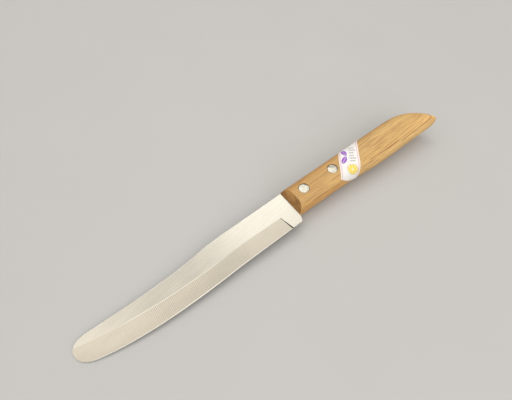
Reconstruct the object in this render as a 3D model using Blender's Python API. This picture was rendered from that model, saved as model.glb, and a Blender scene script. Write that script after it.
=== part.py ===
# Fruit knife: a round-tipped steel blade, ground on both sides, riveted into a slotted wooden handle.
# X runs along the knife towards the butt and -Y is the cutting edge's side. It lies on its side, with +Z up.
# Pieces are drawn in millimetres from the joint of blade and wood, on the blade's mid-plane.

import math

import bmesh
import bpy
import numpy as np

MM = 0.001
CLEARANCE = 0.3  # between pieces that touch on the real knife
CUT_ROOM = 6.0  # how far a cutting body stands clear of what it cuts

# Blade: a stamped sheet, with its outline as straight runs and Bezier pieces (start, two controls, end)
SHEET = 1.2
BACK_Y = 8.05
EDGE_Y = -10.2
TIP_X = -114.2
TIP_Y = 1.3
BACK_STEP = ((-36.4, BACK_Y), (-52.1, BACK_Y), (-50.1, 5.8), (-78.5, 5.8))
BACK_RISE = ((-78.5, 5.8), (-93.1, 5.8), (-95.5, 6.15), (-100.8, 6.3))
TIP_UPPER = ((-100.8, 6.3), (-105.9, 6.45), (TIP_X, 7.7), (TIP_X, TIP_Y))
TIP_LOWER = ((TIP_X, TIP_Y), (TIP_X, -3.9), (-108.0, -5.6), (-106.8, -5.9))
EDGE_SWEEP = ((-106.8, -5.9), (-82.6, -12.4), (-45.0, EDGE_Y), (-36.0, EDGE_Y))
BACK_ROUND = 0.3
HEEL_CORNER_X = -1.2
HEEL_ROUND = 0.6
HEEL_TOP_Y = -7.2

# Tang: the blade's narrow tail, fixed in the handle's slot
TANG_LENGTH = 44.0
TANG_BELLY_Y = -5.0
TANG_END_BACK_Y = 7.55
TANG_ROUND = 3.0

# Grind: each side is ground from this line down to a thin edge, which has a small honed bevel of its own
GRIND_HEEL = ((-8.1, -2.6), (-22.0, -1.9), (-34.0, -1.4), (-46.0, -3.1))
GRIND_FRONT = ((-46.0, -3.1), (-56.0, -3.2), (-82.0, -3.2), (-118.0, 6.0))
PLUNGE_LEAN = -0.16
HONED_WIDTH = 0.6
HONED_HALF = 0.18
EDGE_HALF = 0.05

# Handle: an oval block with flats on both sides, a stepped belly and a beaked butt
HANDLE_HALF = 6.0
FLAT_HALF = 2.0
FLAT_SHARE = 0.3
EDGE_ROUND = 6.0
BEAK_X = 99.2
HANDLE_BACK = ((67.5, 7.5), (87.5, 7.25), (85.7, 4.65), (BEAK_X, -9.6))
HANDLE_BELLY = ((25.0, -7.43), (43.25, -7.85), (43.25, -9.35), (61.5, -9.56))
HANDLE_FRONT_Y = (-6.85, 8.15)
BEAK_BELLY_Y = -9.75
BEAK_END = 98.7
BEAK_ROUND = 1.6
FRONT_LEAN = 0.45
FRONT_ROOM = 1.0
SLOT_BELLY_Y = TANG_BELLY_Y - CLEARANCE
SLOT_HALF = SHEET / 2 + CLEARANCE
SLOT_END = TANG_LENGTH + CLEARANCE

# Rivets: solid, with low domed heads set down in counterbores on both sides
RIVETS = {"front_rivet": 8.8, "rear_rivet": 27.7}
SHANK_R = 2.0
HEAD_R = 2.75
HEAD_TOP = 5.55
HEAD_DOME = 0.2
HEAD_THICKNESS = 0.9
HEAD_RIM = 0.25
COUNTERBORE_R = HEAD_R + CLEARANCE
COUNTERBORE_Z = HEAD_TOP - HEAD_THICKNESS - CLEARANCE

# Label: a paper strip, wrapped aslant from the belly over the upper side and the back
LABEL_X = 38.8
LABEL_ANGLE = math.radians(53.4)
LABEL_WIDTH = 10.5
LABEL_REACH = (-14.0, 17.0)
LABEL_ARCH = 1.5
LABEL_BOW = 0.012  # sideways curve of the strip, per millimetre round the handle squared
LABEL_GAP = 0.15
LABEL_THICKNESS = 0.15

# Origin: on the underside's flat, half-way between the rivets
ORIGIN_X = sum(RIVETS.values()) / len(RIVETS)

CURVE_STEPS = 14
ARC_STEPS = 10
TURN_STEPS = 40
HANDLE_STEPS = 44
BEAK_STEPS = 6
DOME_STEPS = 4
LABEL_ROWS = 34
LABEL_COLUMNS = 10
WELD = 0.01
SMOOTH_ANGLE = math.radians(24)


def bezier(piece, steps=CURVE_STEPS):
    """Points along one Bezier piece, without its start."""
    start, first, second, end = (np.array(point) for point in piece)
    for step in range(1, steps + 1):
        t = step / steps
        s = 1 - t
        yield tuple(s**3 * start + 3 * s * s * t * first + 3 * s * t * t * second + t**3 * end)


def line_through(*pieces):
    """A function that gives Y at X along Bezier pieces and single points, which run along X in order."""
    points = []
    for piece in pieces:
        if isinstance(piece[0], tuple):
            points.append(piece[0])
            points.extend(bezier(piece, 3 * CURVE_STEPS))
        else:
            points.append(piece)
    points.sort()
    xs, ys = zip(*points)
    return lambda x: float(np.interp(x, xs, ys))


def rounded_corner(before, corner, after, radius, steps=5):
    """Points of an arc that rounds the corner between two other points."""
    corner = np.array(corner)
    first = np.array(before) - corner
    second = np.array(after) - corner
    first = first / np.linalg.norm(first)
    second = second / np.linalg.norm(second)
    half = math.acos(float(first @ second)) / 2
    middle = first + second
    centre = corner + middle / np.linalg.norm(middle) * radius / math.sin(half)
    start = corner + first * radius / math.tan(half) - centre
    end = corner + second * radius / math.tan(half) - centre
    sweep = math.pi - 2 * half
    for step in range(steps + 1):
        t = step / steps
        weights = math.sin((1 - t) * sweep), math.sin(t * sweep)
        yield tuple(centre + (start * weights[0] + end * weights[1]) / math.sin(sweep))


def lofted(rings):
    """A closed body through rings of points, with flat ends."""
    bm = bmesh.new()
    loops = [[bm.verts.new(point) for point in ring] for ring in rings]
    for near, far in zip(loops, loops[1:]):
        for i in range(len(near)):
            j = (i + 1) % len(near)
            bm.faces.new((near[i], near[j], far[j], far[i]))
    bm.faces.new(loops[0])
    bm.faces.new(loops[-1])
    bmesh.ops.recalc_face_normals(bm, faces=bm.faces)
    return bm


def turned(profile, centre):
    """A solid of revolution about Z from (radius, height) points that start and end on the axis."""
    bm = bmesh.new()
    points = [bm.verts.new((centre[0] + r, centre[1], z)) for r, z in profile]
    edges = [bm.edges.new(pair) for pair in zip(points, points[1:])]
    bmesh.ops.spin(
        bm, geom=points + edges, cent=(*centre, 0), axis=(0, 0, 1), angle=2 * math.pi, steps=TURN_STEPS
    )
    bmesh.ops.remove_doubles(bm, verts=bm.verts, dist=WELD)
    bmesh.ops.recalc_face_normals(bm, faces=bm.faces)
    return bm


def finish(name, bm, colour, roughness, metallic):
    """Turns a body drawn in millimetres into a named object under the knife, with its own material."""
    bmesh.ops.scale(bm, vec=(MM, MM, MM), verts=bm.verts)
    mesh = bpy.data.meshes.new(name)
    bm.to_mesh(mesh)
    bm.free()
    mesh.shade_smooth()
    mesh.set_sharp_from_angle(angle=SMOOTH_ANGLE)
    material = bpy.data.materials.new(name)
    material.use_nodes = True
    shader = material.node_tree.nodes["Principled BSDF"]
    shader.inputs["Base Color"].default_value = (*colour, 1)
    shader.inputs["Roughness"].default_value = roughness
    shader.inputs["Metallic"].default_value = metallic
    mesh.materials.append(material)
    obj = bpy.data.objects.new(name, mesh)
    bpy.context.scene.collection.objects.link(obj)
    obj.parent = knife
    return obj


def cut(obj, name, bm):
    """Cuts a helper body out of an object."""
    mesh = bpy.data.meshes.new(name)
    bmesh.ops.scale(bm, vec=(MM, MM, MM), verts=bm.verts)
    bm.to_mesh(mesh)
    bm.free()
    cutter = bpy.data.objects.new(name, mesh)
    bpy.context.scene.collection.objects.link(cutter)
    cutter.parent = knife
    cutter.hide_render = True
    cutter.display_type = "WIRE"
    modifier = obj.modifiers.new(name, "BOOLEAN")
    modifier.operation = "DIFFERENCE"
    modifier.solver = "EXACT"
    modifier.object = cutter


def handle_section(x):
    """The oval at X: its middle in Y, half width, half thickness and half flat."""
    back, belly = handle_back(x), handle_belly(x)
    half = (back - belly) / 2
    fullness = min(1.0, half / EDGE_ROUND)
    thick = HANDLE_HALF * math.sqrt(1 - (1 - fullness) ** 2)
    return (back + belly) / 2, half, thick, min(FLAT_HALF, FLAT_SHARE * half)


def handle_ring(x, shrink=1.0):
    """Points round the handle's oval: a flat above and below, joined by quarter ellipses."""
    middle, half, thick, flat = handle_section(x)
    ring = []
    for quarter, (side, up) in enumerate(((1, 1), (-1, 1), (-1, -1), (1, -1))):
        for step in range(ARC_STEPS + 1):
            turn = step / ARC_STEPS if side * up > 0 else 1 - step / ARC_STEPS
            angle = turn * math.pi / 2
            across = flat + (half - flat) * math.cos(angle)
            if turn > 0 or quarter in (0, 2):
                ring.append((x, middle + side * across * shrink, up * thick * shrink * math.sin(angle)))
    return ring


def blade_outline():
    """The stamped sheet's outline, from the tang's end along the back to the tip and home along the edge."""
    tang_back = (TANG_LENGTH, TANG_END_BACK_Y)
    tang_belly = (TANG_LENGTH, TANG_BELLY_Y)
    tang_root = (-CLEARANCE, TANG_BELLY_Y)
    heel_top = (-CLEARANCE, HEEL_TOP_Y)
    heel = (HEEL_CORNER_X, EDGE_Y)
    outline = list(rounded_corner(tang_belly, tang_back, (0, BACK_Y), TANG_ROUND))
    outline.append((0, BACK_Y))
    outline.append(BACK_STEP[0])
    for piece in (BACK_STEP, BACK_RISE, TIP_UPPER, TIP_LOWER, EDGE_SWEEP):
        outline.extend(bezier(piece))
    outline.extend(rounded_corner((EDGE_SWEEP[3][0], EDGE_Y), heel, heel_top, HEEL_ROUND))
    outline.append(heel_top)
    outline.append(tang_root)
    outline.extend(rounded_corner(tang_root, tang_belly, tang_back, TANG_ROUND))
    return outline


def grind_cutter(side):
    """What the wheel takes off one side: the space over a slope from the grind line to the thin edge."""
    grind_line = line_through(GRIND_FRONT, GRIND_HEEL)
    edge_line = line_through(EDGE_SWEEP, (0, EDGE_Y))
    edge_rise = (EDGE_SWEEP[1][1] - EDGE_SWEEP[0][1]) / (EDGE_SWEEP[1][0] - EDGE_SWEEP[0][0])
    plunge_x, plunge_y = GRIND_HEEL[0]
    end_x = GRIND_FRONT[3][0]
    stations = np.linspace(plunge_x, end_x, 3 * CURVE_STEPS)
    rings = []
    for x in stations:
        grind = grind_line(x)
        edge = edge_line(x) + edge_rise * min(0.0, x - EDGE_SWEEP[0][0])
        ring = (
            (grind, SHEET / 2),
            (edge + HONED_WIDTH, HONED_HALF),
            (edge, EDGE_HALF),
            (edge - CUT_ROOM, EDGE_HALF),
            (edge - CUT_ROOM, SHEET / 2 + CUT_ROOM),
            (grind, SHEET / 2 + CUT_ROOM),
        )
        lean = PLUNGE_LEAN if x == plunge_x else 0
        rings.append([(x + lean * (y - plunge_y), y, side * z) for y, z in ring])
    return lofted(rings)


def make_blade():
    bm = bmesh.new()
    outline = [bm.verts.new((x, y, -SHEET / 2)) for x, y in blade_outline()]
    face = bm.faces.new(outline)
    top = bmesh.ops.extrude_face_region(bm, geom=[face])["geom"]
    bmesh.ops.translate(bm, vec=(0, 0, SHEET), verts=[v for v in top if isinstance(v, bmesh.types.BMVert)])
    bmesh.ops.recalc_face_normals(bm, faces=bm.faces)
    back_end = TIP_UPPER[0][0]
    back_edges = [
        edge
        for edge in bm.edges
        if edge.verts[0].co.z == edge.verts[1].co.z
        and all(vert.co.y > 0 and back_end <= vert.co.x <= 0 for vert in edge.verts)
    ]
    bmesh.ops.bevel(bm, geom=back_edges, offset=BACK_ROUND, segments=2, profile=0.5, affect="EDGES")
    blade = finish("blade", bm, colour=(0.72, 0.69, 0.62), roughness=0.32, metallic=1.0)
    cut(blade, "grind_upper", grind_cutter(1))
    cut(blade, "grind_lower", grind_cutter(-1))
    hole_r = SHANK_R + CLEARANCE
    for name, x in RIVETS.items():
        hole = turned(((0, SHEET), (hole_r, SHEET), (hole_r, -SHEET), (0, -SHEET)), rivet_centre(x))
        cut(blade, "tang_hole_" + name, hole)
    return blade


def rivet_centre(x):
    return x, handle_section(x)[0]


def make_handle():
    length = BEAK_END - BEAK_ROUND + FRONT_ROOM
    rings = []
    for step in range(HANDLE_STEPS + 1):
        rings.append(handle_ring(length * math.sin(step / HANDLE_STEPS * math.pi / 2) - FRONT_ROOM))
    for step in range(1, BEAK_STEPS):
        turn = step / BEAK_STEPS * math.pi / 2
        x = BEAK_END - BEAK_ROUND * (1 - math.sin(turn))
        rings.append(handle_ring(x, shrink=math.sqrt(math.cos(turn))))
    bm = lofted(rings)
    for side in (1, -1):
        everything = bm.verts[:] + bm.edges[:] + bm.faces[:]
        bmesh.ops.bisect_plane(
            bm, geom=everything, plane_co=(0, 0, 0), plane_no=(-1, 0, side * FRONT_LEAN), clear_outer=True
        )
        bmesh.ops.edgeloop_fill(bm, edges=[edge for edge in bm.edges if edge.is_boundary])
    bmesh.ops.recalc_face_normals(bm, faces=bm.faces)
    handle = finish("handle", bm, colour=(0.60, 0.38, 0.16), roughness=0.55, metallic=0.0)
    slot = bmesh.new()
    bmesh.ops.create_cube(slot, size=1)
    low = (-CUT_ROOM, SLOT_BELLY_Y, -SLOT_HALF)
    high = (SLOT_END, BACK_Y + CUT_ROOM, SLOT_HALF)
    bmesh.ops.scale(slot, vec=[h - l for l, h in zip(low, high)], verts=slot.verts)
    bmesh.ops.translate(slot, vec=[(h + l) / 2 for l, h in zip(low, high)], verts=slot.verts)
    cut(handle, "tang_slot", slot)
    top = HANDLE_HALF + CUT_ROOM
    bore_r = SHANK_R + CLEARANCE
    for name, x in RIVETS.items():
        half = ((0, top), (COUNTERBORE_R, top), (COUNTERBORE_R, COUNTERBORE_Z), (bore_r, COUNTERBORE_Z))
        bore = turned(half + tuple((r, -z) for r, z in reversed(half)), rivet_centre(x))
        cut(handle, "bore_" + name, bore)
    return handle


def make_rivet(name, x):
    """A shank with a head at each end: a low dome with a rounded rim."""
    under = HEAD_TOP - HEAD_THICKNESS
    shoulder = HEAD_TOP - HEAD_DOME
    half = []
    for step in range(DOME_STEPS):
        share = step / DOME_STEPS
        half.append((share * HEAD_R, HEAD_TOP - HEAD_DOME * share**2))
    half.append((HEAD_R - HEAD_RIM / 3, shoulder - HEAD_RIM / 3))
    half.append((HEAD_R, shoulder - HEAD_RIM))
    half.append((HEAD_R, under))
    half.append((SHANK_R, under))
    profile = half + [(r, -z) for r, z in reversed(half)]
    body = turned(profile, rivet_centre(x))
    return finish(name, body, colour=(0.78, 0.77, 0.73), roughness=0.4, metallic=1.0)


def label_point(along, across, lift):
    """A point of the wrapped strip, measured along and across it, lifted off the wood."""
    round_the_handle = along * math.sin(LABEL_ANGLE) - across * math.cos(LABEL_ANGLE)
    x = LABEL_X + along * math.cos(LABEL_ANGLE) + across * math.sin(LABEL_ANGLE)
    x += LABEL_BOW * round_the_handle**2
    middle, half, thick, flat = handle_section(x)
    side = math.copysign(1, round_the_handle)
    past_flat = max(0.0, abs(round_the_handle) - flat)
    angle = past_flat / ((half - flat + thick) / 2)
    slope = math.sin(angle) / (half - flat), math.cos(angle) / thick
    length = math.hypot(*slope)
    out = min(abs(round_the_handle), flat) + (half - flat) * math.sin(angle) + lift * slope[0] / length
    return x, middle + side * out, thick * math.cos(angle) + lift * slope[1] / length


def make_label():
    rings = []
    for column in range(LABEL_COLUMNS + 1):
        across = (column / LABEL_COLUMNS - 0.5) * LABEL_WIDTH
        arch = LABEL_ARCH * (2 * across / LABEL_WIDTH) ** 2
        start, end = LABEL_REACH[0] + arch, LABEL_REACH[1] - arch
        along = np.linspace(start, end, LABEL_ROWS + 1)
        under = [label_point(a, across, LABEL_GAP) for a in along]
        over = [label_point(a, across, LABEL_GAP + LABEL_THICKNESS) for a in reversed(along)]
        rings.append(under + over)
    bm = lofted(rings)
    return finish("label", bm, colour=(0.80, 0.78, 0.76), roughness=0.6, metallic=0.0)


for old in list(bpy.data.objects):
    bpy.data.objects.remove(old, do_unlink=True)

knife = bpy.data.objects.new("knife", None)
knife.location = (-ORIGIN_X * MM, 0, HANDLE_HALF * MM)
bpy.context.scene.collection.objects.link(knife)

handle_back = line_through((0, HANDLE_FRONT_Y[1]), HANDLE_BACK)
handle_belly = line_through((0, HANDLE_FRONT_Y[0]), HANDLE_BELLY, (BEAK_X, BEAK_BELLY_Y))

make_blade()
make_handle()
for rivet_name, rivet_x in RIVETS.items():
    make_rivet(rivet_name, rivet_x)
make_label()
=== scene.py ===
import math

import bmesh
import bpy
import numpy as np
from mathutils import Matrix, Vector
from mathutils.geometry import interpolate_bezier


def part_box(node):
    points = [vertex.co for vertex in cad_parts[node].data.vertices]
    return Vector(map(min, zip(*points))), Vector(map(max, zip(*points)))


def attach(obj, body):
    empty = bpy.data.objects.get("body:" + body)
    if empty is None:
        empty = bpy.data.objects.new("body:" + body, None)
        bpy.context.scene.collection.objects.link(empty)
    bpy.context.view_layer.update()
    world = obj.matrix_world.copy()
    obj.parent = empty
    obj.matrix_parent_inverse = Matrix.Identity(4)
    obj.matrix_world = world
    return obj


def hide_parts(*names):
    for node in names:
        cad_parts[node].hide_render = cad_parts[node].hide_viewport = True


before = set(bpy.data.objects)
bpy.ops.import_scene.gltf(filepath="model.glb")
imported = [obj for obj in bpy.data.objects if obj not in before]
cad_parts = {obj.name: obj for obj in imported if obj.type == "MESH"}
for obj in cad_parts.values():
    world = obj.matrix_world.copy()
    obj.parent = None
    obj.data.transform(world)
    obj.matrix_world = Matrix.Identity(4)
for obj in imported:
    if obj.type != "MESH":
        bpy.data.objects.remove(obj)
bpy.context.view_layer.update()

mm = 0.001
near = 0.01 * mm  # points closer than this count as one
fewCorners = 8  # only the end caps have more
scene = bpy.context.scene
tipReach = 114.2  # blade tip to the joint of blade and wood, in millimetres
bladeLow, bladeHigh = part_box("blade")
joint = Vector((bladeLow.x / mm + tipReach, 0, (bladeLow.z + bladeHigh.z) / 2 / mm))  # drawings start here


# drawing and editing
def place(x, y, z):  # millimetres from the joint to a point of the frame
    return (joint + Vector((x, y, z))) * mm


def curvePoints(pieces, steps):  # through points and curves (start, two handles, end, own steps)
    points = []
    for piece in pieces:
        if len(piece) > 2:
            count = piece[4] if len(piece) > 4 else steps
            points.extend(interpolate_bezier(*(Vector(corner) for corner in piece[:4]), count))
        else:
            points.append(Vector(piece))
    return points


def lineAt(pieces, steps=80):  # Y along a drawn line, asked by X
    points = sorted((point.x, point.y) for point in curvePoints(pieces, steps))
    xs, ys = zip(*points)
    return lambda x: float(np.interp(x, xs, ys))


def startEdit(piece):
    bpy.ops.object.select_all(action="DESELECT")
    piece.select_set(True)
    bpy.context.view_layer.objects.active = piece
    bpy.ops.object.mode_set(mode="EDIT")
    bpy.ops.mesh.select_all(action="SELECT")


def endEdit():
    bpy.ops.object.mode_set(mode="OBJECT")


def pick(piece, kind, test):  # selects the points, edges or faces that pass a test
    bpy.ops.mesh.select_mode(type=kind)
    bpy.ops.mesh.select_all(action="DESELECT")
    shape = bmesh.from_edit_mesh(piece.data)
    parts = {"VERT": shape.verts, "EDGE": shape.edges, "FACE": shape.faces}[kind]
    for part in parts:
        part.select_set(test(part))
    shape.select_flush_mode()
    bmesh.update_edit_mesh(piece.data)


def pull(x, y, z):  # extrudes what is selected, in millimetres
    bpy.ops.mesh.extrude_region_move(TRANSFORM_OT_translate={"value": (x * mm, y * mm, z * mm)})


def faceOutwards():
    bpy.ops.mesh.select_all(action="SELECT")
    bpy.ops.mesh.normals_make_consistent(inside=False)


def newPiece(name):  # names the primitive just added and puts its place in its mesh
    piece = bpy.context.object
    piece.name = name
    bpy.ops.object.transform_apply(location=True, rotation=True, scale=True)
    return piece


def addModifier(piece, kind, **settings):
    modifier = piece.modifiers.new(kind, kind)
    for name, value in settings.items():
        setattr(modifier, name, value)
    bpy.context.view_layer.objects.active = piece
    bpy.ops.object.modifier_apply(modifier=modifier.name)


def cutAway(piece, cutter):
    addModifier(piece, "BOOLEAN", operation="DIFFERENCE", solver="EXACT", object=cutter)
    bpy.data.objects.remove(cutter)


def settle(piece, slot, *nodes):  # the finished piece takes its nodes' place in the frame
    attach(piece, "root")
    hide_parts(*nodes)


# materials
class Wire:  # a socket of a material that takes part in sums
    def __init__(self, tree, socket=None):
        self.tree = tree
        self.socket = socket

    def node(self, kind, inputs, output=0, **settings):
        made = self.tree.nodes.new(kind)
        for name, value in settings.items():
            setattr(made, name, value)
        for name, value in inputs.items():
            if isinstance(value, Wire):
                self.tree.links.new(value.socket, made.inputs[name])
            else:
                made.inputs[name].default_value = value
        return Wire(self.tree, made.outputs[output])

    def math(self, operation, first, second=0.0):
        return self.node("ShaderNodeMath", {0: first, 1: second}, operation=operation)

    def __add__(self, other):
        return self.math("ADD", self, other)

    def __sub__(self, other):
        return self.math("SUBTRACT", self, other)

    def __rsub__(self, other):
        return self.math("SUBTRACT", other, self)

    def __mul__(self, other):
        return self.math("MULTIPLY", self, other)

    def __truediv__(self, other):
        return self.math("DIVIDE", self, other)

    def __pow__(self, other):
        return self.math("POWER", self, other)

    __radd__ = __add__
    __rmul__ = __mul__

    def out(self, name):  # another output of the same node
        return Wire(self.tree, self.socket.node.outputs[name])

    def step(self, low, high):  # soft step from 0 at low to 1 at high
        inputs = {"Value": self, "From Min": low, "From Max": high}
        return self.node("ShaderNodeMapRange", inputs, interpolation_type="SMOOTHSTEP")

    def stretch(self, scale, turn=0.0, shift=(0, 0, 0)):  # turned about Z in degrees, then stretched
        inputs = {"Vector": self, "Rotation": (0, 0, math.radians(turn)), "Location": shift}
        turned = self.node("ShaderNodeMapping", inputs)
        return turned.node("ShaderNodeMapping", {"Vector": turned, "Scale": scale})

    def noise(self, scale=1.0, detail=2.0, roughness=0.5):
        inputs = {"Vector": self, "Scale": scale, "Detail": detail, "Roughness": roughness}
        return self.node("ShaderNodeTexNoise", inputs)

    def mix(self, first, second):  # colours, by this mask
        return self.node("ShaderNodeMix", {0: self, 6: first, 7: second}, output=2, data_type="RGBA")

    def tone(self, colour):  # a colour made lighter or darker by this value
        inputs = {0: colour if isinstance(colour, Wire) else colour[:3], "Scale": self}
        return self.node("ShaderNodeVectorMath", inputs, operation="SCALE")

    def bump(self, depth):  # depth in millimetres
        return self.node("ShaderNodeBump", {"Strength": 1.0, "Distance": depth * mm, "Height": self})


def tint(red, green, blue):  # a colour as the eye reads it, 0 to 255
    parts = [value / 255 for value in (red, green, blue)]
    linear = [p / 12.92 if p <= 0.04045 else ((p + 0.055) / 1.055) ** 2.4 for p in parts]
    return (*linear, 1.0)


def newMaterial(name, **fixed):  # fixed values go straight on the shader's sockets
    material = bpy.data.materials.new(name)
    material.use_nodes = True
    shader = material.node_tree.nodes["Principled BSDF"]
    for socket, value in fixed.items():
        shader.inputs[socket].default_value = value
    start = Wire(material.node_tree)
    spot = start.node("ShaderNodeTexCoord", {}, "Object")
    inputs = {"Vector": spot, "Scale": (1 / mm,) * 3, "Location": -joint}
    return material, start.node("ShaderNodeMapping", inputs)  # millimetres from the joint


def connect(material, colour, rough, normal=None):
    shader = material.node_tree.nodes["Principled BSDF"]
    for name, wire in (("Base Color", colour), ("Roughness", rough), ("Normal", normal)):
        if wire:
            material.node_tree.links.new(wire.socket, shader.inputs[name])


# blade
cuttingEdge = ((-106.8, -5.9), (-82.6, -12.38), (-45.0, -10.2), (-36.0, -10.2))
bladeShape = {
    "sheet": 1.2,
    "outline": [
        ((41.0, -5.0), (43.0, -5.0), (44.0, -4.0), (44.0, -2.0), 10),  # tang
        ((44.0, 4.5), (44.0, 6.5), (43.0, 7.56), (41.0, 7.58), 10),
        (0.0, 8.05),
        ((-36.4, 8.05), (-52.1, 8.05), (-50.1, 5.8), (-78.5, 5.8)),  # back
        ((-78.5, 5.8), (-93.1, 5.8), (-95.5, 6.15), (-100.8, 6.3)),
        ((-100.8, 6.3), (-105.9, 6.45), (-114.2, 7.7), (-114.2, 1.3)),  # round tip
        ((-114.2, 1.3), (-114.2, -3.9), (-108.0, -5.6), (-106.8, -5.9)),
        cuttingEdge,
        ((-1.65, -10.2), (-1.35, -10.2), (-1.15, -10.03), (-1.07, -9.77), 9),  # heel
        (-0.04, -7.2),
        (-0.04, -5.0),
    ],
    "grindLine": [
        ((-8.75, -2.55), (-44.8, -1.41), (-33.0, -2.23), (-47.0, -2.42)),
        ((-47.0, -2.42), (-62.6, -2.63), (-92.9, -2.24), (-118.0, 5.42)),
    ],
    "edgeLine": [cuttingEdge, (0.0, -10.2)],
    "edgeRise": -0.27,  # slope of the edge line where it runs on past the tip
    "plungeFrom": -20.0,
    "plungeLean": -0.16,
    "plungeRun": (0.2, 0.6),  # width of the slope where the wheel stopped, at the line and at the edge
    "honedWidth": 0.42,
    "honedHalf": 0.16,  # half the thickness where the honing starts
    "edgeHalf": 0.05,  # half the thickness of the edge itself
    "lineHalf": 0.2,  # half the width of the strip where the flat meets the bevel
    "backFrom": 4.0,  # the rounded edges lie above this
    "backRound": 0.3,
    "backSteps": 4,
    "tipStart": -107.5,
    "tipRound": 0.14,
    "tipSteps": 2,
    "tipLean": 8.0,  # the ground faces lean less than this at the tip
    "cuts": (-112, 0, 4),  # the flats are parted along X: from, to, spacing
    "curveSteps": 48,
    "grindSteps": 150,
    "room": 6.0,  # how far the cutter reaches out of the steel
    "smoothRim": 30.0,  # degrees up to which edges are shaded smooth, round the rim and elsewhere
    "smoothGround": 0.7,
    "zoneLean": {"flat": 0.6, "line": 2.1, "bevel": 6.0, "edge": 20.0, "rim": 60.0},  # degrees off level
}


def makeGrindCutter(side):  # the space that the wheel clears on one side
    shape = bladeShape
    half = shape["sheet"] / 2
    grindAt, edgeAt = lineAt(shape["grindLine"]), lineAt(shape["edgeLine"])
    start, end = shape["grindLine"][0][0], shape["grindLine"][-1][-1]
    bpy.ops.mesh.primitive_grid_add(x_subdivisions=shape["grindSteps"] + 1, y_subdivisions=4)
    cutter = newPiece("grindCutter")
    columns = shape["grindSteps"] + 2
    for index, vertex in enumerate(cutter.data.vertices):
        column, row = index % columns, index // columns
        x = start[0] + (end[0] - start[0]) * max(0, column - 1) / (columns - 2)
        edge = edgeAt(x) + shape["edgeRise"] * min(0.0, x - cuttingEdge[0][0])
        line = grindAt(x)
        fall = (half - shape["honedHalf"]) / (line - edge - shape["honedWidth"]) * shape["lineHalf"]
        ys = (line + shape["lineHalf"], line - shape["lineHalf"], edge + shape["honedWidth"], edge)
        zs = (half, half - fall, shape["honedHalf"], shape["edgeHalf"])
        y, z = (*ys, edge - shape["room"])[row], (*zs, shape["edgeHalf"])[row]
        if column < 2:
            x += shape["plungeLean"] * (y - start[1])
        if column == 0:  # level with the flat, so that the cut ends in a slope
            x += np.interp(y, (edge, line), shape["plungeRun"][::-1])
            z = half
        vertex.co = place(x, y, side * z)
    startEdit(cutter)
    pull(0, 0, side * shape["room"])
    faceOutwards()
    endEdit()
    return cutter


def slope(face):  # degrees away from level
    return math.degrees(math.acos(min(1.0, abs(face.normal.z))))


def bladeZone(face):  # which finish a face of the blade has
    lean, most = slope(face), bladeShape["zoneLean"]
    centre = face.calc_center_median() / mm - joint
    if lean < most["flat"]:
        return "flat"
    nearHeel = centre.x > bladeShape["plungeFrom"]
    if nearHeel and lean < most["rim"] and -face.normal.x > abs(face.normal.y):
        return "plunge"
    if lean < most["line"]:
        return "line"
    if lean < most["bevel"]:
        return "bevel"
    return "edge" if lean < most["edge"] and centre.y < 0 else "back"


def makeBlade():
    shape = bladeShape
    half = shape["sheet"] / 2
    outline = curvePoints(shape["outline"], shape["curveSteps"])
    bpy.ops.object.select_all(action="DESELECT")
    bpy.ops.mesh.primitive_circle_add(vertices=len(outline), fill_type="NGON")
    blade = newPiece("steelBlade")
    for vertex, point in zip(blade.data.vertices, outline):
        vertex.co = place(*point, -half)
    startEdit(blade)
    bpy.ops.mesh.remove_doubles(threshold=near)
    bpy.ops.mesh.select_all(action="SELECT")
    pull(0, 0, shape["sheet"])
    faceOutwards()

    def onBack(edge):  # along the back and the tip, outside the wood
        level = abs(edge.verts[0].co.z - edge.verts[1].co.z) < near
        return level and all(v.co.y > shape["backFrom"] * mm and v.co.x < joint.x * mm for v in edge.verts)

    pick(blade, "EDGE", onBack)
    bpy.ops.mesh.bevel(offset=shape["backRound"] * mm, segments=shape["backSteps"], affect="EDGES")
    endEdit()
    for side in (1, -1):
        cutAway(blade, makeGrindCutter(side))
    startEdit(blade)
    bpy.ops.mesh.remove_doubles(threshold=near / 10)

    def onTipRim(edge):  # round the tip, where the grind meets the rim
        leans = sorted(slope(face) for face in edge.link_faces)
        atTip = all(v.co.x < place(shape["tipStart"], 0, 0).x for v in edge.verts)
        meets = len(leans) == 2 and leans[0] < shape["tipLean"] and leans[1] > shape["zoneLean"]["rim"]
        return atTip and meets

    pick(blade, "EDGE", onTipRim)
    bpy.ops.mesh.bevel(
        offset=shape["tipRound"] * mm, segments=shape["tipSteps"], affect="EDGES", clamp_overlap=True
    )
    for x in range(*shape["cuts"]):
        bpy.ops.mesh.select_all(action="SELECT")
        bpy.ops.mesh.bisect(plane_co=place(x, 0, 0), plane_no=(1, 0, 0))
    endEdit()
    return blade


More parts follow.
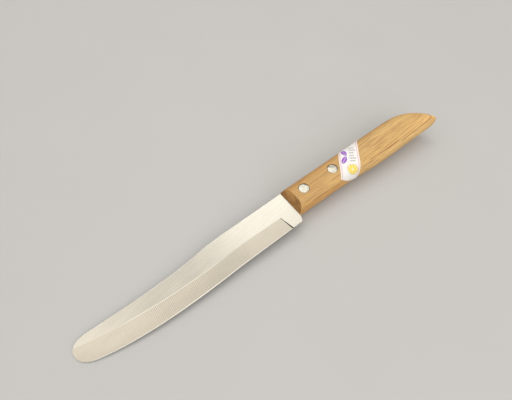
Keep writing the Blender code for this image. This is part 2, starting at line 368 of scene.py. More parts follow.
steelLook = {
    "finish": {  # tint, roughness, strength of clouds and lines, line scale along and across, turn, depth
        "flat": ((178, 173, 162), 0.25, 0.16, 0.22, (0.07, 2.0), -9, 0.004),
        # the line, edge and back tints are lighter than the flat's: painted highlight on the strip, the
        # honed edge and the rounded back
        "line": ((198, 193, 181), 0.28, 0.05, 0.05, (0.3, 0.3), 0, 0.001),
        "bevel": ((178, 171, 157), 0.29, 0.12, 0.14, (1.25, 0.03), 4, 0.0012),
        "edge": ((196, 191, 181), 0.27, 0.05, 0.10, (1.5, 0.05), 0, 0.002),
        "back": ((240, 237, 228), 0.30, 0.06, 0.10, (0.1, 2.0), 0, 0.002),
        # the plunge's dark tint is painted shade on the wall where the wheel stopped
        "plunge": ((84, 79, 72), 0.55, 0.10, 0.10, (1.0, 1.0), 0, 0.002),
    },
    "cloudScale": (0.07, 0.16, 0.16),
    "lineRough": 0.3,  # how much of the lines shows in the roughness
    "paintedLineHighlight": ((-98.0, -86.0), (-40.0, -52.0)),  # painted highlight: the strip between flat and bevel takes the lighter line tint only in these spans along X
    "wheelScale": 0.32,
    "wheelDistortion": 5.0,
    "wheelFade": (-114.0, -100.0),  # out towards the tip
    "patchScale": (0.12, 0.05, 0.05),  # where the wheel's lines are stronger
    "patchEdge": (0.35, 0.65),
    "wheelStrength": (0.75, 0.4),  # all over, and more in patches
    "wheelStronger": (-86.0, -70.0, 0.25),  # from, to, by how much
    "wheelFainter": (-64.0, -46.0, 0.4),
    "paintedShadeLow": ((-3.5, -8.0), (-40.0, -56.0), 0.08),  # where painted shade darkens the bevel: across, along, by how much
    "paintedShadeMiddle": ((-26.0, -36.0), (-58.0, -46.0), 0.09),  # comes, goes, by how much
    "paintedShadeTip": ((-84.0, -104.0), 0.08, 0.25),  # along, by how much, the clouds' part
}


def wheelMarks(spot, lines, along):  # close lines left by the wheel, stronger in places
    look = steelLook
    inputs = {"Vector": lines, "Scale": look["wheelScale"], "Distortion": look["wheelDistortion"]}
    marks = lines.node("ShaderNodeTexWave", {**inputs, "Detail": 2.0, "Detail Scale": 1.0}, output="Fac")
    patchy = spot.stretch(look["patchScale"]).noise().step(*look["patchEdge"])
    allOver, inPatches = look["wheelStrength"]
    *strongerAt, more = look["wheelStronger"]
    *fainterAt, less = look["wheelFainter"]
    strong = allOver + patchy * inPatches + along.step(*strongerAt) * more - along.step(*fainterAt) * less
    return 0.5 + (marks - 0.5) * (along.step(*look["wheelFade"]) * strong)


def paintedBevelShade(along, clouds):  # painted shade on the bevel: low down in the front half, in the middle and at the tip
    across, front, low = steelLook["paintedShadeLow"]
    comes, goes, middle = steelLook["paintedShadeMiddle"]
    tip, plain, cloudy = steelLook["paintedShadeTip"]
    grey = along.out("Y").step(*across) * along.step(*front) * low
    grey = grey + along.step(*comes) * along.step(*goes) * middle
    return grey + along.step(*tip) * (plain - (clouds - 0.5) * cloudy)


def steelMaterial(zone):
    look = steelLook
    colour, rough, cloudy, lined, scale, turn, depth = look["finish"][zone]
    material, spot = newMaterial("steel_" + zone, Metallic=1.0)
    along = spot.node("ShaderNodeSeparateXYZ", {"Vector": spot})
    clouds = spot.stretch(look["cloudScale"]).noise(detail=3.0)
    lines = spot.stretch((*scale, 1.0), turn=turn)
    lines = wheelMarks(spot, lines, along) if zone == "bevel" else lines.noise(roughness=0.6)
    shade = 1 + (clouds - 0.5) * cloudy + (lines - 0.5) * lined
    colour = tint(*colour)
    if zone == "bevel":
        # painted shade darkens the bevel's tint in places
        shade = shade - paintedBevelShade(along, clouds)
    if zone == "line":
        # painted highlight: the lighter line tint in these spans, the flat's tint elsewhere
        comes, goes = look["paintedLineHighlight"]
        paintedHighlight = along.step(*comes) * along.step(*goes)
        colour = paintedHighlight.mix(tint(*look["finish"]["flat"][0]), colour)
    rough = rough + (lines - 0.5) * lined * look["lineRough"] + (clouds - 0.5) * cloudy
    connect(material, shade.tone(colour), rough, lines.bump(depth))
    return material


def finishBlade(blade):
    zones = list(steelLook["finish"])
    for zone in zones:
        blade.data.materials.append(steelMaterial(zone))
    shape = bmesh.new()
    shape.from_mesh(blade.data)
    for face in shape.faces:
        face.material_index = zones.index(bladeZone(face))
        face.smooth = True
    for edge in shape.edges:
        onRim = all(slope(face) > bladeShape["zoneLean"]["rim"] for face in edge.link_faces)
        limit = bladeShape["smoothRim"] if onRim else bladeShape["smoothGround"]
        edge.smooth = edge.calc_face_angle(0) < math.radians(limit)
    shape.to_mesh(blade.data)
    shape.free()
    settle(blade, "blade_steel", "blade")


# handle
handleShape = {
    "thick": 6.0,  # half thickness
    "flat": 2.0,  # half width of the flat strip on each side
    "edgeRound": 6.0,
    "back": [(0.0, 8.1), ((67.5, 7.5), (87.8, 7.45), (86.5, 4.85), (99.6, -9.3))],
    "belly": [
        (0.0, -6.85),
        ((25.0, -7.43), (43.25, -7.85), (43.25, -9.3), (61.5, -9.5)),
        (92.0, -9.62),
        (99.6, -9.35),
    ],
    "frontRoom": 1.0,
    "beakEnd": 98.65,
    "beakRound": 1.6,
    "frontStart": -0.35,  # where the two bevels of the front end meet
    "frontLean": 0.51,
    "frontEase": 0.12,
    "frontSteps": 2,
    "frontFacing": -0.5,  # how far the normals of the bevels point to the front
    "grainFacing": -0.85,  # faces with end grain
    "capFacing": 0.9,
    "stations": 110,
    "beakSteps": 8,
    "sides": 96,
    "slotHalf": 0.63,
    "slotStart": -8.0,  # in front of the wood
    "slotEnd": 44.1,
    "slotBelly": -5.05,
    "slotBack": 14.0,  # past the back, so the slot is open there
    "boreRadius": 2.05,
    "boreSides": 64,
    "headBore": 2.8,
    "boreShift": (0.0, 0.1, 0.0),  # a dark gap shows on the back's side of each head
    "headFloor": 4.3,
    "smooth": 28.0,
}
backAt = lineAt(handleShape["back"])
bellyAt = lineAt(handleShape["belly"])


def handleOval(x):  # middle in Y, half width and half thickness at X
    half = (backAt(x) - bellyAt(x)) / 2
    fullness = min(1.0, half / handleShape["edgeRound"])
    return (backAt(x) + bellyAt(x)) / 2, half, handleShape["thick"] * math.sqrt(1 - (1 - fullness) ** 2)


def handleStations():  # X along the handle, with how far the oval is drawn in there
    shape = handleShape
    straight = shape["beakEnd"] - shape["beakRound"]
    for step in range(1, shape["stations"] + 1):
        yield straight * math.sin(step / shape["stations"] * math.pi / 2), 1.0
    for step in range(1, shape["beakSteps"]):
        turn = step / shape["beakSteps"] * math.pi / 2
        yield straight + shape["beakRound"] * math.sin(turn), math.sqrt(math.cos(turn))


def makeHandle():
    shape = handleShape
    middle, half, thick = handleOval(0)
    room = shape["frontRoom"]
    bpy.ops.object.select_all(action="DESELECT")
    bpy.ops.mesh.primitive_cylinder_add(
        vertices=shape["sides"],
        radius=thick * mm,
        depth=room * mm,
        location=place(-room / 2, middle, 0),
        rotation=(0, math.pi / 2, 0),
    )
    handle = newPiece("woodHandle")
    startEdit(handle)
    centre = place(0, middle, 0)
    bpy.ops.transform.resize(value=(1, (half - shape["flat"]) / thick, 1), center_override=centre)
    for side in (1, -1):  # the round is parted into two halves with a flat between
        pick(handle, "VERT", lambda vert: side * (vert.co.y - centre.y) > near)
        bpy.ops.transform.translate(value=(0, side * shape["flat"] * mm, 0))
    pick(handle, "FACE", lambda face: face.normal.x > shape["capFacing"])
    lastX, last = 0.0, (middle, half, thick)
    for x, drawnIn in handleStations():
        middle, half, thick = handleOval(x)
        half, thick = half * drawnIn, thick * drawnIn
        pull(x - lastX, middle - last[0], 0)
        squeeze = (1, half / last[1], thick / last[2])
        bpy.ops.transform.resize(value=squeeze, center_override=place(x, middle, 0))
        lastX, last = x, (middle, half, thick)
    for side in (1, -1):  # the two bevels of the front end
        bpy.ops.mesh.select_all(action="SELECT")
        bpy.ops.mesh.bisect(
            plane_co=place(shape["frontStart"], 0, 0),
            plane_no=(-1, 0, side * shape["frontLean"]),
            use_fill=True,
            clear_outer=True,
        )
    faceOutwards()

    def roundFront(edge):  # where a bevel meets the sides
        return sum(face.normal.x < shape["frontFacing"] for face in edge.link_faces) == 1

    pick(handle, "EDGE", roundFront)
    bpy.ops.mesh.bevel(offset=shape["frontEase"] * mm, segments=shape["frontSteps"], affect="EDGES")
    endEdit()
    cutAway(handle, makeSlotCutter())
    for node in ("front_rivet", "rear_rivet"):
        cutAway(handle, makeBoreCutter(node))
    return handle


def makeSlotCutter():
    shape = handleShape
    low = place(shape["slotStart"], shape["slotBelly"], -shape["slotHalf"])
    high = place(shape["slotEnd"], shape["slotBack"], shape["slotHalf"])
    bpy.ops.mesh.primitive_cube_add(size=1, location=(low + high) / 2, scale=high - low)
    return newPiece("slotCutter")


def makeBoreCutter(node):  # a bore with a wider seat for the head at each end
    shape = handleShape
    centre = rivetCentre(node) + Vector(shape["boreShift"]) * mm
    bpy.ops.mesh.primitive_cylinder_add(
        vertices=shape["boreSides"],
        radius=shape["boreRadius"] * mm,
        depth=2 * shape["headFloor"] * mm,
        location=centre,
    )
    cutter = newPiece("boreCutter")
    startEdit(cutter)
    widen = shape["headBore"] / shape["boreRadius"]

    def endCap(face):
        return len(face.verts) > fewCorners and side * face.normal.z > shape["capFacing"]

    for side in (1, -1):
        pick(cutter, "FACE", endCap)
        pull(0, 0, 0)
        bpy.ops.transform.resize(value=(widen, widen, 1), center_override=centre)
        pull(0, 0, side * shape["thick"])
    faceOutwards()
    endEdit()
    return cutter


woodLook = {
    "light": (215, 178, 115),
    "mid": (197, 157, 97),
    "front": (184, 143, 84),
    "brown": (186, 132, 67),  # laid towards the back as painted shade, and low down at the front
    "line": (152, 105, 59),
    "streak": (136, 86, 54),
    "swayScale": (0.02, 0.05, 0.05),
    "sway": (0.0, 2.5, 2.5),
    "figureScale": (0.014, 0.22, 0.22),
    "figureEdge": (0.34, 0.64),
    "fibreScale": (0.06, 3.2, 3.2),
    "poreScale": (0.11, 1.9, 1.9),
    "poreShift": (7, 3, 5),
    "frontFade": (80.0, 0.0, 0.5),  # from, to, strength
    "paintedBackShade": (2.0, 8.0, 0.9),
    "paintedBackShadeEnd": (105.0, 70.0),
    "band": (4.0, -0.02),  # top edge of the brown band along the belly: height and climb
    "bandEdge": (-0.2, 0.5),
    "bandEnd": (42.0, 30.0),
    "bandStrength": 0.55,
    "fibreLines": (0.52, 0.34, 0.5),  # from, to, strength
    "poreLines": (0.57, 0.68, 0.35),
    "bellySide": (-2.5, -4.5),  # streaks and band start here
    "streaks": (  # from, to, height at the start, climb, where it bends, climb more, half width, strength
        (5.0, 36.0, 3.75, -0.028, 99.0, 0.0, 0.30, 0.35),
        (38.0, 51.0, 3.8, 0.0, 99.0, 0.0, 0.24, 0.85),
        (50.0, 71.0, 4.6, 0.0, 99.0, 0.0, 0.26, 0.85),
        (68.0, 97.0, 3.65, 0.02, 82.0, 0.09, 0.28, 0.85),
    ),
    "streakEnds": (6.0, 4.0),  # length over which a streak comes and goes
    "streakCore": 0.2,  # part of the half width that is fully dark
    "streakSway": 0.5,
    "fibreTone": 1.18,
    "fibreMean": 0.42,
    "pale": (-1.0, -7.5, 0.10),  # painted light along the belly: from, to, by how much
    "paintedLightButt": (68.0, 92.0, 0.15),  # and most of all at the butt
    "rough": (0.46, 0.14),
    "poreDepth": 0.6,
    "grainDepth": 0.02,
}


def woodGrain(spot):  # figure, fibres and pores, all drawn out along the handle
    look = woodLook
    sway = spot.stretch(look["swayScale"]).noise().tone(look["sway"])
    swayed = spot.node("ShaderNodeVectorMath", {0: sway, 1: spot}, operation="ADD")
    figure = swayed.stretch(look["figureScale"]).noise(detail=3.0, roughness=0.55)
    fibres = swayed.stretch(look["fibreScale"]).noise(detail=4.0, roughness=0.68)
    pores = swayed.stretch(look["poreScale"], shift=look["poreShift"]).noise()
    return figure, fibres, pores.step(*look["poreLines"][:2])


def woodMaterial():
    look = woodLook
    material, spot = newMaterial("oiled_wood")
    figure, fibres, pores = woodGrain(spot)
    along = spot.node("ShaderNodeSeparateXYZ", {"Vector": spot})
    across, up = along.out("Y"), along.out("Z")
    onBelly = across.step(*look["bellySide"])
    colour = figure.step(*look["figureEdge"]).mix(tint(*look["mid"]), tint(*look["light"]))

    def blend(mask, strength, name):  # lays another of the wood's colours over what is there
        return (mask * strength).mix(colour, tint(*look[name]))

    *fade, strength = look["frontFade"]
    colour = blend(along.step(*fade), strength, "front")
    # painted shade along the back's side, fading out towards the butt
    *fade, strength = look["paintedBackShade"]
    colour = blend(across.step(*fade) * along.step(*look["paintedBackShadeEnd"]), strength, "brown")
    top, climb = look["band"]
    band = (top + along * climb - up).step(*look["bandEdge"]) * onBelly * along.step(*look["bandEnd"])
    colour = blend(band, look["bandStrength"], "brown")
    *fade, strength = look["fibreLines"]
    colour = blend(fibres.step(*fade), strength, "line")
    colour = blend(pores, look["poreLines"][2], "line")
    sway = (fibres - 0.5) * look["streakSway"]
    comes, goes = look["streakEnds"]
    for start, end, height, climb, bendAt, bend, half, strength in look["streaks"]:
        line = height + (along - start) * climb + spot.math("MAXIMUM", along - bendAt, 0.0) * bend + sway
        streak = spot.math("ABSOLUTE", up - line).step(half, half * look["streakCore"])
        ends = along.step(start, start + comes) * along.step(end, end - goes)
        colour = blend(streak * ends * onBelly, strength, "streak")
    # painted light: the wood is made lighter along the belly, where it turns away from the lamps, and most
    # at the butt
    *fade, pale = look["pale"]
    *buttFade, paintedLightMore = look["paintedLightButt"]
    lighter = across.step(*fade) * (pale + along.step(*buttFade) * paintedLightMore)
    shade = (look["fibreMean"] + fibres * look["fibreTone"]) * (1 + lighter)
    plain, more = look["rough"]
    height = fibres - pores * look["poreDepth"]
    connect(material, shade.tone(colour), plain + fibres * more, height.bump(look["grainDepth"]))
    return material


endGrainLook = {
    "dark": (134, 93, 48),
    "light": (184, 138, 78),
    "patchScale": 0.3,
    "patches": 0.7,  # parts of the patches and the fibres in the mix of the two tints
    "fibres": 0.4,
    "palePart": 0.35,
    "paleUp": (2.0, 5.5),  # paler high up on the back's side
    "paleAcross": (-3.0, 1.5),
    "darker": 0.1,
    "mixEdge": (0.2, 0.8),
    "ringLean": 0.55,
    "ringPlace": 0.3,
    "ringGap": 5.4,
    "ringSway": 2.0,
    "ringEdge": (0.7, 0.98, 0.6),  # from, to, strength
    "pores": 0.2,
    "rough": (0.7, 0.1),
    "depth": 0.02,
}


def endGrainMaterial():
    look = endGrainLook
    material, spot = newMaterial("end_grain")
    fibres, pores = woodGrain(spot)[1:]
    along = spot.node("ShaderNodeSeparateXYZ", {"Vector": spot})
    across, up = along.out("Y"), spot.math("ABSOLUTE", along.out("Z"))
    dark, light = tint(*look["dark"]), tint(*look["light"])
    patches = spot.stretch((look["patchScale"],) * 3).noise(detail=3.0)
    pale = up.step(*look["paleUp"]) * across.step(*look["paleAcross"])
    mixed = patches * look["patches"] + fibres * look["fibres"] + pale * look["palePart"] - look["darker"]
    colour = mixed.step(*look["mixEdge"]).mix(dark, light)
    sway = (patches - 0.5) * look["ringSway"]
    height = up - across * look["ringLean"] - look["ringPlace"] + sway
    ring = spot.math("FRACT", height / look["ringGap"])
    *edge, strength = look["ringEdge"]
    colour = (ring.step(*edge) * strength).mix(colour, dark)
    colour = (pores * look["pores"]).mix(colour, dark)
    plain, more = look["rough"]
    connect(material, colour, plain + fibres * more, (fibres - pores).bump(look["depth"]))
    return material


def finishHandle(handle):
    handle.data.materials.append(woodMaterial())
    handle.data.materials.append(endGrainMaterial())
    for polygon in handle.data.polygons:
        endGrain = polygon.normal.x < handleShape["grainFacing"]  # on the front bevels
        polygon.material_index = 1 if endGrain else 0
    bpy.ops.object.select_all(action="DESELECT")
    handle.select_set(True)
    bpy.context.view_layer.objects.active = handle
    bpy.ops.object.shade_smooth_by_angle(angle=math.radians(handleShape["smooth"]))
    settle(handle, "handle_wood", "handle")


# rivets
rivetShape = {
    "radius": 2.68,
    "sides": 72,
    "rings": 10,
    "dome": 0.15,
    "equator": 5.72,  # height of the head's rim over the rivet's middle
    "rim": 1.0,
    "rimRound": 0.2,  # less than one ring
    "rimSteps": 3,
    "rimLean": (0.3, 0.7),  # upright less than the one, level more than the other
    "shank": 2.0,
    "dent": 0.17,
    "dentSize": 1.7,
    "smooth": 40.0,
    "tilt": (3.0, 0.0),  # degrees about X and Y, each head is set a little askew
    "shift": (0.0, 0.5, 0.18),  # from the middle of the solid
    "turn": 60,  # the second rivet is turned about its own line
}


def rivetCentre(node):
    low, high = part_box(node)
    return (low + high) / 2 + Vector(rivetShape["shift"]) * mm


def makeRivet(name, centre):
    shape = rivetShape
    seat = centre + Vector((0, 0, shape["equator"] * mm))
    capAngle = 2 * math.atan(shape["dome"] / shape["radius"])  # the head is a cap of a large ball
    ballRings = round(shape["rings"] * math.pi / capAngle)
    capAngle = shape["rings"] * math.pi / ballRings
    ball = shape["radius"] / math.sin(capAngle) * mm
    bpy.ops.object.select_all(action="DESELECT")
    bpy.ops.mesh.primitive_uv_sphere_add(
        segments=shape["sides"],
        ring_count=ballRings,
        radius=ball,
        location=seat - Vector((0, 0, ball * math.cos(capAngle))),
    )
    rivet = newPiece(name)
    startEdit(rivet)
    pick(rivet, "VERT", lambda vert: vert.co.z < seat.z - near / 5)
    bpy.ops.mesh.delete(type="VERT")
    endEdit()
    hammer = bpy.data.textures.new("hammer", "CLOUDS")
    hammer.noise_scale = shape["dentSize"] * mm
    depth = shape["dent"] * mm
    addModifier(rivet, "DISPLACE", texture=hammer, direction="Z", strength=depth, texture_coords="LOCAL")
    startEdit(rivet)
    pick(rivet, "EDGE", lambda edge: edge.is_boundary)
    pull(0, 0, -shape["rim"])
    bpy.ops.transform.resize(value=(1, 1, 0), center_override=seat - Vector((0, 0, shape["rim"] * mm)))
    bpy.ops.mesh.edge_face_add()
    pick(rivet, "FACE", lambda face: len(face.verts) > fewCorners)
    bpy.ops.mesh.inset(thickness=(shape["radius"] - shape["shank"]) * mm)
    pull(0, 0, shape["rim"] - shape["equator"])
    bpy.ops.mesh.delete(type="FACE")

    def onRim(edge):  # where the head turns down into its side
        leans = sorted(abs(face.normal.z) for face in edge.link_faces)
        high = all(vert.co.z > seat.z - shape["rim"] / 2 * mm for vert in edge.verts)
        upright, level = shape["rimLean"]
        return high and len(leans) == 2 and leans[0] < upright and leans[1] > level

    pick(rivet, "EDGE", onRim)
    bpy.ops.mesh.bevel(offset=shape["rimRound"] * mm, segments=shape["rimSteps"], affect="EDGES")
    endEdit()
    hub = bpy.data.objects.new("rivetMiddle", None)
    scene.collection.objects.link(hub)
    hub.location = centre
    bpy.context.view_layer.update()
    addModifier(rivet, "MIRROR", use_axis=(False, False, True), mirror_object=hub, merge_threshold=near)
    bpy.data.objects.remove(hub)
    startEdit(rivet)
    faceOutwards()
    endEdit()
    bpy.ops.object.shade_smooth_by_angle(angle=math.radians(shape["smooth"]))
    rivet.data.materials.append(makeRivetMaterial())
    return rivet


def copyRivet(rivet, name, centre, newCentre):  # with its own mesh, turned so that the dents differ
    copy = bpy.data.objects.new(name, rivet.data.copy())
    scene.collection.objects.link(copy)
    startEdit(copy)
    turn = math.radians(rivetShape["turn"])
    bpy.ops.transform.rotate(value=turn, orient_axis="Z", center_override=centre)
    bpy.ops.transform.translate(value=newCentre - centre)
    endEdit()
    return copy


def tiltHead(rivet, centre):
    seat = centre + Vector((0, 0, rivetShape["equator"] * mm))
    startEdit(rivet)
    pick(rivet, "VERT", lambda vert: vert.co.z > seat.z - rivetShape["rim"] / 2 * mm)
    for axis, degrees in zip("XY", rivetShape["tilt"]):
        bpy.ops.transform.rotate(value=math.radians(degrees), orient_axis=axis, center_override=seat)
    endEdit()


rivetLook = {
    "tint": (180, 175, 162),
    "tone": 0.92,
    "cloudScale": 0.7,
    "cloudTone": 0.36,
    "pitScale": 3.0,
    "pitTone": 0.05,
    "pitDepth": 0.005,
    "rough": (0.24, 0.2),  # all over, and by the clouds
}


def makeRivetMaterial():
    look = rivetLook
    material, spot = newMaterial("hammered_aluminium", Metallic=1.0)
    clouds = spot.noise(scale=look["cloudScale"], detail=3.0)
    pits = spot.noise(scale=look["pitScale"], detail=4.0, roughness=0.6)
    shade = look["tone"] + (clouds - 0.5) * look["cloudTone"] + (pits - 0.5) * look["pitTone"]
    plain, cloudy = look["rough"]
    rough = plain + (clouds - 0.5) * cloudy
    connect(material, shade.tone(tint(*look["tint"])), rough, pits.bump(look["pitDepth"]))
    return material


# label
labelShape = {
    "x": 38.4,
    "angle": math.radians(53.4),
    "width": 10.5,
    "reach": (-12.8, 16.5),  # along the strip, from the belly over the back
    "arch": 0.6,  # how far the ends curve back towards the corners
    "bow": 0.012,
    "gap": 0.03,
    "paper": 0.07,
    "cornerLift": 0.10,
    "cornerSharp": 8,
    "columns": 42,
    "rows": 130,
    "smooth": 40.0,
}


def labelPlace(along, across, lift):  # a point of the wrapped strip
    shape = labelShape
    turnedCos, turnedSin = math.cos(shape["angle"]), math.sin(shape["angle"])
    roundHandle = along * turnedSin - across * turnedCos
    x = shape["x"] + along * turnedCos + across * turnedSin + shape["bow"] * roundHandle**2
    middle, half, thick = handleOval(x)
    flat = handleShape["flat"] * half / handleOval(0)[1]
    side = math.copysign(1, roundHandle)
    angle = max(0.0, abs(roundHandle) - flat) / ((half - flat + thick) / 2)
    lean = Vector((math.sin(angle) / (half - flat), math.cos(angle) / thick)).normalized()
    out = min(abs(roundHandle), flat) + (half - flat) * math.sin(angle) + lift * lean.x
    return place(x, middle + side * out, thick * math.cos(angle) + lift * lean.y)


def makeLabel():
    shape = labelShape
    bpy.ops.object.select_all(action="DESELECT")
    bpy.ops.mesh.primitive_grid_add(x_subdivisions=shape["columns"], y_subdivisions=shape["rows"])
    label = newPiece("paperLabel")
    printPlace = label.data.attributes.new("printPlace", "FLOAT_VECTOR", "POINT")
    for index, vertex in enumerate(label.data.vertices):
        column, row = index % (shape["columns"] + 1), index // (shape["columns"] + 1)
        share = 2 * column / shape["columns"] - 1
        across = share * shape["width"] / 2
        arch = shape["arch"] * share**2
        start, end = shape["reach"][0] + arch, shape["reach"][1] - arch
        along = start + (end - start) * row / shape["rows"]
        ends = abs(2 * row / shape["rows"] - 1)
        lift = shape["gap"] + shape["cornerLift"] * (abs(share) * ends) ** shape["cornerSharp"]
        vertex.co = labelPlace(along, across, lift)
        printPlace.data[index].vector = (across, along, 0)
    addModifier(label, "SOLIDIFY", thickness=shape["paper"] * mm, offset=1)
    startEdit(label)
    faceOutwards()
    endEdit()
    bpy.ops.object.shade_smooth_by_angle(angle=math.radians(shape["smooth"]))
    label.data.materials.append(makeLabelMaterial())
    settle(label, "label_paper", "label")
    return label


labelPrint = {
    "paper": (238, 235, 232),
    "fibre": (205, 202, 200),
    "yellow": (241, 214, 58),
    "rind": (214, 176, 40),
    "purple": (150, 88, 192),
    "pink": (222, 140, 146),
    "grey": (176, 174, 172),
    "soft": 0.06,  # half width of the blur at an edge of the print
    "fibreScale": 1.4,
    "fibres": (0.4, 0.8, 0.35),  # from, to, strength
    "edgeLines": (-4.5, 4.5),
    "edgeLineHalf": 0.13,
    "bars": (0.3, 3.7, -1.2, 8.0, 1.7),  # from and to across, from and to along, spacing
    "barEdge": (0.50, 0.36),
    "barRoom": 0.4,
    "barRagged": 1.3,
    "barStrength": 0.8,
    "slices": ((1.3, -6.2), (-1.2, 12.5)),  # centres, across and along
    "sliceRadius": 2.95,
    "sliceParts": 7,
    "spoke": (0.04, 0.14),
    "flesh": (0.84, 0.80),  # parts of the radius
    "peel": (0.86, 0.92),
    "leaves": ((-2.5, -0.8, 26), (-2.4, 4.2, -26), (2.2, 15.0, 30)),  # centre and turn in degrees
    "leafSize": (1.25, 2.9),
    "vein": (0.05, 0.12),
    "rough": (0.45, 0.15),
    "depth": 0.004,
}


def printBars(spot, across, along):  # short bars with ragged ends
    look = labelPrint
    left, right, low, high, gap = look["bars"]
    row = spot.math("FLOOR", (along - low) / gap + 0.5)
    ragged = spot.node("ShaderNodeTexWhiteNoise", {"W": row}, noise_dimensions="1D") * look["barRagged"]
    bar = spot.math("PINGPONG", along - low, gap / 2).step(*look["barEdge"])
    rows = between(along, low - look["barRoom"], high + look["barRoom"])
    return between(across, left, right - ragged) * rows * bar


def between(value, low, high):
    soft = labelPrint["soft"]
    return value.step(low - soft, low + soft) * value.step(high + soft, high - soft)


def printSlice(spot, across, along, centre):  # the disc, its flesh and its peel
    look = labelPrint
    outer, soft = look["sliceRadius"], look["soft"]
    dx, dy = across - centre[0], along - centre[1]
    radius = (dx * dx + dy * dy) ** 0.5
    turn = spot.math("ARCTAN2", dy, dx) * (look["sliceParts"] / (2 * math.pi))
    spoke = (spot.math("PINGPONG", turn, 0.5) * radius).step(*look["spoke"])
    disc = radius.step(outer + soft, outer - soft)
    flesh = radius.step(*(outer * part for part in look["flesh"])) * spoke
    peel = radius.step(*(outer * part for part in look["peel"])) * disc
    return disc, flesh, peel


def printLeaf(spot, onStrip, x, y, degrees):  # a pointed leaf with a bare vein
    look = labelPrint
    turned = onStrip.stretch((1, 1, 1), turn=degrees, shift=rotated(-x, -y, degrees))
    width = turned.node("ShaderNodeSeparateXYZ", {"Vector": turned})
    length = width.out("Y") / look["leafSize"][1]
    away = spot.math("ABSOLUTE", width)
    leaf = look["leafSize"][0] * (1 - length * length) - away
    return leaf.step(-look["soft"], look["soft"]) * away.step(*look["vein"])


def makeLabelMaterial():
    look = labelPrint
    material, spot = newMaterial("printed_paper")
    onStrip = spot.node("ShaderNodeAttribute", {}, "Vector", attribute_name="printPlace")
    across = onStrip.node("ShaderNodeSeparateXYZ", {"Vector": onStrip})
    along = across.out("Y")
    fibre = spot.noise(scale=look["fibreScale"], detail=4.0)
    *fade, strength = look["fibres"]
    colour = (fibre.step(*fade) * strength).mix(tint(*look["paper"]), tint(*look["fibre"]))
    for line in look["edgeLines"]:
        edgeLine = between(across, line - look["edgeLineHalf"], line + look["edgeLineHalf"])
        colour = edgeLine.mix(colour, tint(*look["pink"]))
    colour = (printBars(spot, across, along) * look["barStrength"]).mix(colour, tint(*look["grey"]))
    for centre in look["slices"]:
        for mask, name in zip(printSlice(spot, across, along, centre), ("paper", "yellow", "rind")):
            colour = mask.mix(colour, tint(*look[name]))
    for leaf in look["leaves"]:
        colour = printLeaf(spot, onStrip, *leaf).mix(colour, tint(*look["purple"]))
    plain, more = look["rough"]
    connect(material, colour, plain + fibre * more, fibre.bump(look["depth"]))
    return material


def rotated(x, y, degrees):  # a shift turned along with the motif
    turn = math.radians(degrees)
    return (x * math.cos(turn) - y * math.sin(turn), x * math.sin(turn) + y * math.cos(turn), 0)


# floor, light and camera
stageLook = {
    "floor": (186, 185, 183),
    "floorSize": 24.0,  # metres
    "floorGap": 0.02,
    "cloudScale": 0.02,
    "cloudTone": (0.98, 0.04),
    "cloudRough": (0.55, 0.1),
    "front": 2.7,  # where the handle's underside meets the floor, from the joint
    "tip": (-112.0, 5.42),  # where the tip meets it, and how high over the handle's underside
    "world": ((1.0, 0.985, 0.955), 0.42),
    "lights": (  # place and aim in metres, width and depth, power and colour
        ((-0.05, 0.10, 1.15), (0, 0), (2.0, 2.2), 13.6, (1.0, 0.975, 0.935)),  # broad top light
        ((0.29, 0.32, 0.58), (0.29, 0.32), (0.46, 0.31), 0.55, (0.95, 0.985, 1.0)),  # key, seen in the heel
        ((-0.34, 0.34, 0.60), (0, 0), (0.40, 0.40), 0.18, (1.0, 0.93, 0.82)),  # panel mirrored near the tip
        ((-0.08, -0.06, 0.66), (0, 0), (0.80, 0.12), 0.2, (1.0, 0.98, 0.95)),  # strip for the honed edge
        ((0.10, -0.80, 0.55), (0, 0), (1.0, 0.60), 3.2, (1.0, 0.98, 0.95)),  # fill from the near side
    ),
}


def makeFloor():
    drop = stageLook["tip"][1] / (stageLook["front"] - stageLook["tip"][0])
    bpy.ops.object.select_all(action="DESELECT")
    bpy.ops.mesh.primitive_plane_add(size=stageLook["floorSize"])
    floor = bpy.context.object
    floor.name = "floor"
    floor.location = place(stageLook["front"], 0, -handleShape["thick"] - stageLook["floorGap"])
    floor.rotation_euler = (0, math.atan(drop), 0)
    material, spot = newMaterial("pale_floor")
    clouds = spot.noise(scale=stageLook["cloudScale"])
    tone, lighter = stageLook["cloudTone"]
    rough, rougher = stageLook["cloudRough"]
    shade = tone + clouds * lighter
    connect(material, shade.tone(tint(*stageLook["floor"])), rough + clouds * rougher)
    floor.data.materials.append(material)


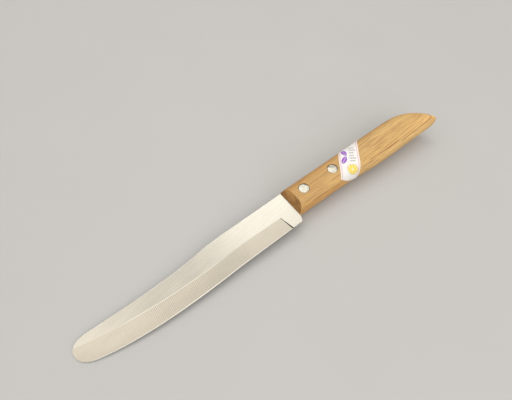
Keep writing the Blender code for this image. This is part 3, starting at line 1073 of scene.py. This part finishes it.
def makeLights():
    world = bpy.data.worlds.new("studio")
    world.use_nodes = True
    colour, strength = stageLook["world"]
    background = world.node_tree.nodes["Background"]
    background.inputs["Color"].default_value = (*colour, 1)
    background.inputs["Strength"].default_value = strength
    scene.world = world
    for index, (spot, aim, size, power, colour) in enumerate(stageLook["lights"]):
        data = bpy.data.lights.new(f"softbox{index}", "AREA")
        data.shape = "RECTANGLE"
        data.size, data.size_y = size
        data.energy, data.color = power, colour
        lamp = bpy.data.objects.new(data.name, data)
        scene.collection.objects.link(lamp)
        lamp.location = spot
        lamp.rotation_euler = (Vector((*aim, 0)) - Vector(spot)).to_track_quat("-Z", "Y").to_euler()


cameraView = {
    "place": (-91.04, -64.76, 177.43),  # millimetres
    "heading": 38.29,  # degrees from +Y towards +X
    "pitch": 60.0,
    "lens": 28.125,
    "sensor": 36.0,
    "nearest": 0.01,  # metres, nothing closer is drawn
}


def makeCamera():
    data = bpy.data.cameras.new("camera")
    data.sensor_width, data.lens = cameraView["sensor"], cameraView["lens"]
    data.clip_start = cameraView["nearest"]
    camera = bpy.data.objects.new("camera", data)
    scene.collection.objects.link(camera)
    camera.location = Vector(cameraView["place"]) * mm
    camera.rotation_euler.x = math.radians(90 - cameraView["pitch"])
    camera.rotation_euler.z = -math.radians(cameraView["heading"])
    scene.camera = camera


makeCamera()
makeLights()
makeFloor()
print("stage ready")
blade = makeBlade()
finishBlade(blade)
print("blade", len(blade.data.polygons), "faces")
handle = makeHandle()
finishHandle(handle)
print("handle", len(handle.data.polygons), "faces")
frontCentre, rearCentre = rivetCentre("front_rivet"), rivetCentre("rear_rivet")
frontRivet = makeRivet("frontRivetMetal", frontCentre)
rearRivet = copyRivet(frontRivet, "rearRivetMetal", frontCentre, rearCentre)
tiltHead(frontRivet, frontCentre)
tiltHead(rearRivet, rearCentre)
settle(frontRivet, "rivet_metal", "front_rivet")
settle(rearRivet, "rivet_metal", "rear_rivet")
print("rivets", len(frontRivet.data.polygons), "faces each")
label = makeLabel()
print("label", len(label.data.polygons), "faces")
scene.view_settings.view_transform = "Standard"
